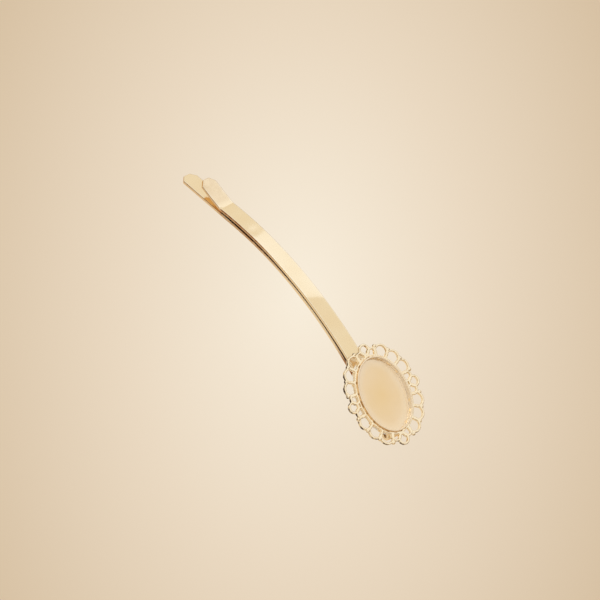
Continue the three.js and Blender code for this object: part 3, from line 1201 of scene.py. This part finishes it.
@dataclass
class LaceBorder:
    """The openwork border: wire loops, crests and grains on a band round the cup. Lengths are in millimetres.

    The flanks, where shade is painted, are stretches of the upward share of a face's normal, and the facing
    one of its outward share.
    """

    place: Matrix
    cup_half: Pair
    thickness: float = 0.6
    level: float = 0.6
    band: float = 0.28
    band_steps: int = 144
    seat_gap: float = 0.12
    wire: float = 0.44
    crown: float = 0.17
    crown_steps: int = 4
    ring_steps: int = 56
    unevenness: float = 0.025
    unevenness_seed: int = 4
    loop_out: Pair = (1.05, 1.27)
    loop_reach: float = 1.575
    loops_per_quarter: int = 3
    crest_ring: float = 1.195
    crest_out: float = 0.55
    crest_reach: float = 3.4
    side_ring: float = 1.125
    side_in: float = 0.35
    side_reach: float = 1.4
    bead_radius: float = 0.4
    bead_out: float = 0.95
    bead_segments: int = 24
    bead_rings: int = 14
    oval_steps: int = 720
    voxel: float = 0.065
    melt: float = 0.5
    melt_rounds: int = 4
    outer_flank: Stretch = (0.85, -0.4)
    inner_flank: Stretch = (0.55, -0.4)
    flank_facing: Stretch = (0.0, 0.5)
    inner_shade: float = 0.3
    smooth: float = math.radians(60)

    def __post_init__(self) -> None:
        """Measure the oval that the loops' centres lie on."""
        self.half = tuple(cup + out for cup, out in zip(self.cup_half, self.loop_out))
        steps = [self._on_oval(2.0 * math.pi * i / self.oval_steps) for i in range(self.oval_steps + 1)]
        chords = (after - before for before, after in zip(steps, steps[1:]))
        self.walked = [0.0, *accumulate(chord.length for chord in chords)]

    def _on_oval(self, angle: float) -> Vector:
        """Return a point of the loops' oval at an angle of its parameter."""
        return Vector((self.half[0] * math.cos(angle), self.half[1] * math.sin(angle), 0.0))

    def _at(self, quarter: int, arc: float, out: float) -> Matrix:
        """Find a place in the lace, with its X axis pointing out of the oval.

        Args:
            quarter: which end of the oval's axes the arc starts from.
            arc: length along the oval.
            out: distance out from the oval.

        Returns:
            The place on the tray's bench.
        """
        whole = self.walked[-1]
        target = (quarter * whole / 4 + arc) % whole
        step = next(i for i, length in enumerate(self.walked[1:]) if length >= target)
        share = (target - self.walked[step]) / (self.walked[step + 1] - self.walked[step])
        point = self._on_oval(2.0 * math.pi * (step + share) / self.oval_steps)
        normal = out_of_oval(point, self.half)
        spot = point + normal * out + Vector((0.0, 0.0, self.level + self.thickness / 2))
        return Matrix.Translation(spot) @ Matrix.Rotation(math.atan2(normal.y, normal.x), 4, "Z")

    def _ring(self, name: str, outer: float) -> bpy.types.Object:
        """Cast one loop, with upright walls and a crowned top.

        Args:
            name: the loop's name.
            outer: its outer radius.

        Returns:
            The loop at the bench's origin.
        """
        inside = (outer - self.wire) / outer
        piece = settled(added(
            bpy.ops.mesh.primitive_circle_add, name,
            vertices=self.ring_steps, radius=outer, location=(0.0, 0.0, -self.thickness / 2),
        ))
        with editing(piece):
            flare((inside, inside))
            bpy.ops.mesh.select_all(action="SELECT")
            extrude(Vector((0.0, 0.0, self.thickness)))
        outwards(piece)
        with editing(piece):
            round_off(piece, self.crown, self.crown_steps, lambda edge: min(heights(edge)) > 0.0)
        return piece

    def _grain(self) -> bpy.types.Object:
        """Make one round grain."""
        steps = {"segments": self.bead_segments, "ring_count": self.bead_rings}
        return added(bpy.ops.mesh.primitive_uv_sphere_add, "grain", radius=self.bead_radius, **steps)

    def _band(self) -> bpy.types.Object:
        """Make the band that carries the loops round the cup's wall.

        Returns:
            The band on the tray's bench.
        """
        half = tuple(cup + self.seat_gap for cup in self.cup_half)
        piece = oval("lace_border_openwork", half, self.level, self.band_steps)
        with editing(piece):
            bpy.ops.mesh.extrude_edges_move(TRANSFORM_OT_translate={"value": (0.0, 0.0, self.thickness)})
            bpy.ops.mesh.select_all(action="SELECT")
            bpy.ops.mesh.normals_make_consistent(inside=False)
        modify(piece, "SOLIDIFY", thickness=self.band, offset=1.0)
        return piece

    def _places(self) -> dict[str, list[Matrix]]:
        """List where each kind of element goes.

        Returns:
            The places of each kind on the tray's bench.
        """
        places: dict[str, list[Matrix]] = {"loop": [], "crest": [], "side": [], "grain": []}
        pitch = (self.walked[-1] / 4 - 2.0 * self.crest_reach) / (self.loops_per_quarter - 1)
        for quarter in range(4):
            places["crest"].append(self._at(quarter, 0.0, self.crest_out))
            for side in (-1.0, 1.0):
                places["side"].append(self._at(quarter, side * self.side_reach, -self.side_in))
            places["grain"].append(self._at(quarter, self.crest_reach - pitch / 2, self.bead_out))
            for i in range(self.loops_per_quarter):
                arc = self.crest_reach + i * pitch
                places["loop"].append(self._at(quarter, arc, 0.0))
                places["grain"].append(self._at(quarter, arc + pitch / 2, self.bead_out))
        return places

    def build(self) -> list[bpy.types.Object]:
        """Make and dress the border: copies of its elements, joined with the band into one casting.

        Returns:
            The one piece.
        """
        makers = {
            "loop": self._ring("loop", self.loop_reach),
            "crest": self._ring("crest", self.crest_ring),
            "side": self._ring("side", self.side_ring),
            "grain": self._grain(),
        }
        elements = []
        for kind, places in self._places().items():
            for place in places:
                element = makers[kind].copy()
                element.data = makers[kind].data.copy()
                bpy.context.collection.objects.link(element)
                element.matrix_world = place
                elements.append(element)
        for maker in makers.values():
            bpy.data.objects.remove(maker)
        piece = self._band()
        activate(piece)
        for element in elements:
            element.select_set(True)
        bpy.ops.object.join()
        with editing(piece):
            bpy.ops.transform.vertex_random(
                offset=self.unevenness, uniform=1.0, normal=0.0, seed=self.unevenness_seed
            )
        modify(piece, "REMESH", mode="VOXEL", voxel_size=self.voxel)
        modify(piece, "SMOOTH", factor=self.melt, iterations=self.melt_rounds)
        self._mark_flanks(piece)
        lay(piece, self.place, self.smooth)
        gold = LACE_FINISH.material(self.place)
        return [dress(piece, gold, "lace_border", Body.SETTING)]

    def _mark_flanks(self, piece: bpy.types.Object) -> None:
        """Store how much painted shade and dark reflection each point of the lace gets on its upright walls,
        most where they face out; the walls of its holes get less.

        Args:
            piece: the lace on its bench.
        """
        flank = []
        for vertex in piece.data.vertices:
            # Painted shade and dark reflection: full on the outward walls, less on the walls of the holes.
            beyond = oval_share(vertex.co, self.half) > 1.0
            upright = into(vertex.normal.z, self.outer_flank if beyond else self.inner_flank)
            facing = into(vertex.normal.dot(out_of_oval(vertex.co, self.half)), self.flank_facing)
            flank.append(upright * facing * (1.0 if beyond else self.inner_shade))
        mark(piece, flank=flank)


# The studio


@dataclass(frozen=True)
class Viewpoint:
    """The camera's place, given in the tray's own axes. Its distances are in metres."""

    elevation: float = math.radians(57.42)
    roll: float = math.radians(65.74)
    pixels_per_mm: float = 5.38
    picture: int = 600
    rim_pixel: Pair = (385.63, 393.57)
    distance: float = 4.5
    farthest: float = 50.0
    sensor: float = 36.0

    def axes(self, tilt: float) -> tuple[Vector, Vector, Vector]:
        """Return the picture's right and up and the way back to the camera.

        Args:
            tilt: the tray's tilt about the frame's Y axis.

        Returns:
            Three unit vectors in the frame.
        """
        turn = Matrix.Rotation(tilt, 3, "Y")
        along = turn @ Vector((1.0, 0.0, 0.0))
        across = turn @ Vector((0.0, math.sin(self.elevation), math.cos(self.elevation)))
        right = along * math.cos(self.roll) + across * math.sin(self.roll)
        up = across * math.cos(self.roll) - along * math.sin(self.roll)
        return right, up, right.cross(up)

    def aim(self, tilt: float, rim: Vector) -> Vector:
        """Find the point in the picture's middle, level with the rim's centre.

        Args:
            tilt: the tray's tilt.
            rim: the rim's centre in the frame.

        Returns:
            The point in the frame.
        """
        right, up, _ = self.axes(tilt)
        column, row = (pixel - self.picture / 2 for pixel in self.rim_pixel)
        return rim - right * (column / self.pixels_per_mm * MM) + up * (row / self.pixels_per_mm * MM)

    def shoot(self, tilt: float, rim: Vector) -> None:
        """Set up the camera and make it the scene's.

        Args:
            tilt: the tray's tilt.
            rim: the rim's centre in the frame.
        """
        right, up, back = self.axes(tilt)
        lens = bpy.data.cameras.new("portrait")
        lens.sensor_width = self.sensor
        lens.lens = self.sensor * self.distance / (self.picture / self.pixels_per_mm * MM)
        lens.clip_end = self.farthest
        camera = bpy.data.objects.new("portrait", lens)
        bpy.context.scene.collection.objects.link(camera)
        spot = self.aim(tilt, rim) + back * self.distance
        camera.matrix_world = Matrix.Translation(spot) @ Matrix((right, up, back)).transposed().to_4x4()
        bpy.context.scene.camera = camera


@dataclass(frozen=True)
class Softbox:
    """A soft oblong lamp aimed at the grip. Lengths are in metres."""

    name: str
    towards: Triple
    along: Triple
    sides: Pair
    radiance: float
    colour: Colour
    distance: float = 0.7

    def build(self, target: Vector) -> None:
        """Hang the lamp with its first side along the given way.

        Args:
            target: the point that it is aimed at.
        """
        lamp = bpy.data.lights.new(self.name, "AREA")
        lamp.shape = "RECTANGLE"
        lamp.size, lamp.size_y = self.sides
        lamp.energy = self.radiance * math.pi * self.sides[0] * self.sides[1]
        lamp.color = self.colour
        holder = bpy.data.objects.new(self.name, lamp)
        bpy.context.scene.collection.objects.link(holder)
        way = Vector(self.towards).normalized()
        across = way.cross(Vector(self.along)).normalized()
        turn = Matrix((across.cross(way), across, way)).transposed().to_4x4()
        holder.matrix_world = Matrix.Translation(target + way * self.distance) @ turn
        holder.visible_camera = False


@dataclass
class Studio:
    """The pale floor with its soft oval glow, the room's light and the camera.

    The floor's size is in metres, and its drop and the glow's half-axes are in millimetres. The pairs for the
    tent, its front and its opening give where each begins and is full, along one axis of the way to it.
    """

    tilt: float
    rim: Vector
    view: Viewpoint = Viewpoint()
    floor_size: float = 6.0
    floor_drop: float = 12.0
    floor_shine: float = 0.78
    floor_rough: float = 0.9
    floor_gloss: float = 0.1
    glow_half: Pair = (55.8, 83.4)
    glow_reach: Pair = (0.6, 1.2)
    glow_middle: Colour = (0.973, 0.884, 0.738)
    glow_half_way: Colour = (0.842, 0.711, 0.55)
    glow_edge: Colour = (0.70, 0.553, 0.384)
    tent_top: Triple = (-0.25, 0.1, 0.95)
    tent_rise: Pair = (0.1, 0.56)
    tent_high: Colour = (0.94, 0.93, 0.92)
    tent_low: Colour = (0.36, 0.26, 0.17)
    front_x: Pair = (-0.1, 0.15)
    front_y: Pair = (-0.15, -0.45)
    front_share: float = 0.9
    opening: Colour = (0.16, 0.07, 0.03)
    opening_x: Pair = (0.05, -0.2)
    opening_y: Pair = (-0.36, -0.52)
    opening_z: Pair = (0.5, 0.36)
    lamps: tuple[Softbox, ...] = (
        Softbox(
            "back_softbox", towards=(-0.52, 0.54, 0.66), along=(0.79, 0.0, 0.62), sides=(0.31, 0.3),
            radiance=0.43, colour=(0.39, 0.57, 1.0),
        ),
        Softbox(
            "side_softbox", towards=(-0.62, -0.38, 0.70), along=(0.5, -0.8, 0.0), sides=(0.3, 0.12),
            radiance=2.2, colour=(1.0, 0.96, 0.9),
        ),
    )

    def build(self) -> None:
        """Lay the floor, light the room and set up the camera."""
        bpy.context.scene.view_settings.view_transform = "Standard"
        self.view.shoot(self.tilt, self.rim)
        for lamp in self.lamps:
            lamp.build(self.rim)
        self._room()
        self._floor()

    def _room(self) -> None:
        """Light the room with a pale tent, brightest over the legs' tips and open between -X and -Y."""
        world = bpy.data.worlds.new("room")
        bpy.context.scene.world = world
        world.use_nodes = True
        graph = Graph(world.node_tree)
        ray = graph.add("TexCoord").outputs["Generated"]
        way = graph.add("SeparateXYZ", {0: ray}).outputs
        height = graph.vector("DOT_PRODUCT", ray, Vector(self.tent_top).normalized()).outputs["Value"]
        front = graph.ramp(way["Y"], *self.front_y)
        front = graph.math("MULTIPLY", front, graph.ramp(way["X"], *self.front_x))
        front = graph.math("MULTIPLY", front, self.front_share)
        bright = graph.math("MAXIMUM", graph.ramp(height, *self.tent_rise), front)
        tent = graph.blend(bright, self.tent_low, self.tent_high)
        low = graph.ramp(way["Z"], *self.opening_z)
        side = graph.ramp(way["X"], *self.opening_x)
        ahead = graph.math("MULTIPLY", graph.ramp(way["Y"], *self.opening_y), side)
        tent = graph.blend(graph.math("MULTIPLY", low, ahead), tent, self.opening)
        light = graph.add("Background", {"Color": tent, "Strength": 1.0})
        graph.add("OutputWorld", {"Surface": light.outputs[0]})

    def _floor(self) -> None:
        """Lay the floor where the opened leg clears it, and paint its glow, an oval in the picture."""
        level = (0.0, 0.0, -self.floor_drop * MM)
        plane = added(bpy.ops.mesh.primitive_plane_add, "floor", size=self.floor_size, location=level)
        floor = settled(plane)
        material = bpy.data.materials.new("floor_paper")
        material.use_nodes = True
        graph = Graph(material.node_tree)
        right, up, _ = self.view.axes(self.tilt)
        aim = self.view.aim(self.tilt, self.rim)
        spot = graph.vector("SUBTRACT", graph.add("TexCoord").outputs["Object"], aim).outputs[0]
        reach = []
        for axis, half in zip((right, up), self.glow_half):
            along = graph.vector("DOT_PRODUCT", spot, axis / (half * MM)).outputs["Value"]
            reach.append(graph.math("MULTIPLY", along, along))
        away = graph.math("SQRT", graph.math("ADD", *reach))
        half_way, edge = self.glow_reach
        near = graph.add("MapRange", {"Value": away, "From Max": half_way}).outputs[0]
        far = graph.add("MapRange", {"Value": away, "From Min": half_way, "From Max": edge}).outputs[0]
        paper = graph.blend(near, self.glow_middle, self.glow_half_way)
        paper = graph.blend(far, paper, self.glow_edge)
        matt = graph.add("BsdfPrincipled", {
            "Base Color": paper, "Roughness": self.floor_rough, "Specular IOR Level": self.floor_gloss,
        })
        shine = graph.add("Emission", {"Color": paper, "Strength": 1.0})
        path = graph.add("LightPath").outputs
        seen = graph.math("MAXIMUM", path["Is Camera Ray"], path["Is Glossy Ray"])
        seen = graph.math("MAXIMUM", seen, path["Is Transmission Ray"])
        share = graph.math("MULTIPLY", seen, self.floor_shine)
        surface = graph.add("MixShader", {0: share, 1: matt.outputs[0], 2: shine.outputs[0]})
        graph.add("OutputMaterial", {"Surface": surface.outputs[0]})
        floor.data.materials.append(material)


def main() -> None:
    """Build the grip's pieces and the studio."""
    logging.basicConfig(level=logging.INFO, format="%(name)s: %(message)s")
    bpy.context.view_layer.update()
    fold = Vector(frame["joints"][0]["pos_m"])
    seat = frame["record"]["mounts"][0]
    normal = Vector(seat["axis"])
    tilt = math.atan2(normal.x, normal.z)
    turn = Matrix.Rotation(tilt, 4, "Y")
    strip = SpringStrip(Matrix.Translation(fold) @ turn)
    tray_floor = StoneSetting.cup_floor
    tray = Matrix.Translation(Vector(seat["pos_m"]) - normal * (tray_floor * MM)) @ turn
    setting = StoneSetting(tray, strip)
    lace = LaceBorder(tray, setting.cup_half)
    pieces = [*strip.build(), *setting.build(), *lace.build()]
    LOG.info("%d pieces made", len(pieces))
    Studio(tilt, tray @ Vector((0.0, 0.0, setting.cup_height * MM))).build()


if __name__ == "__main__":
    main()
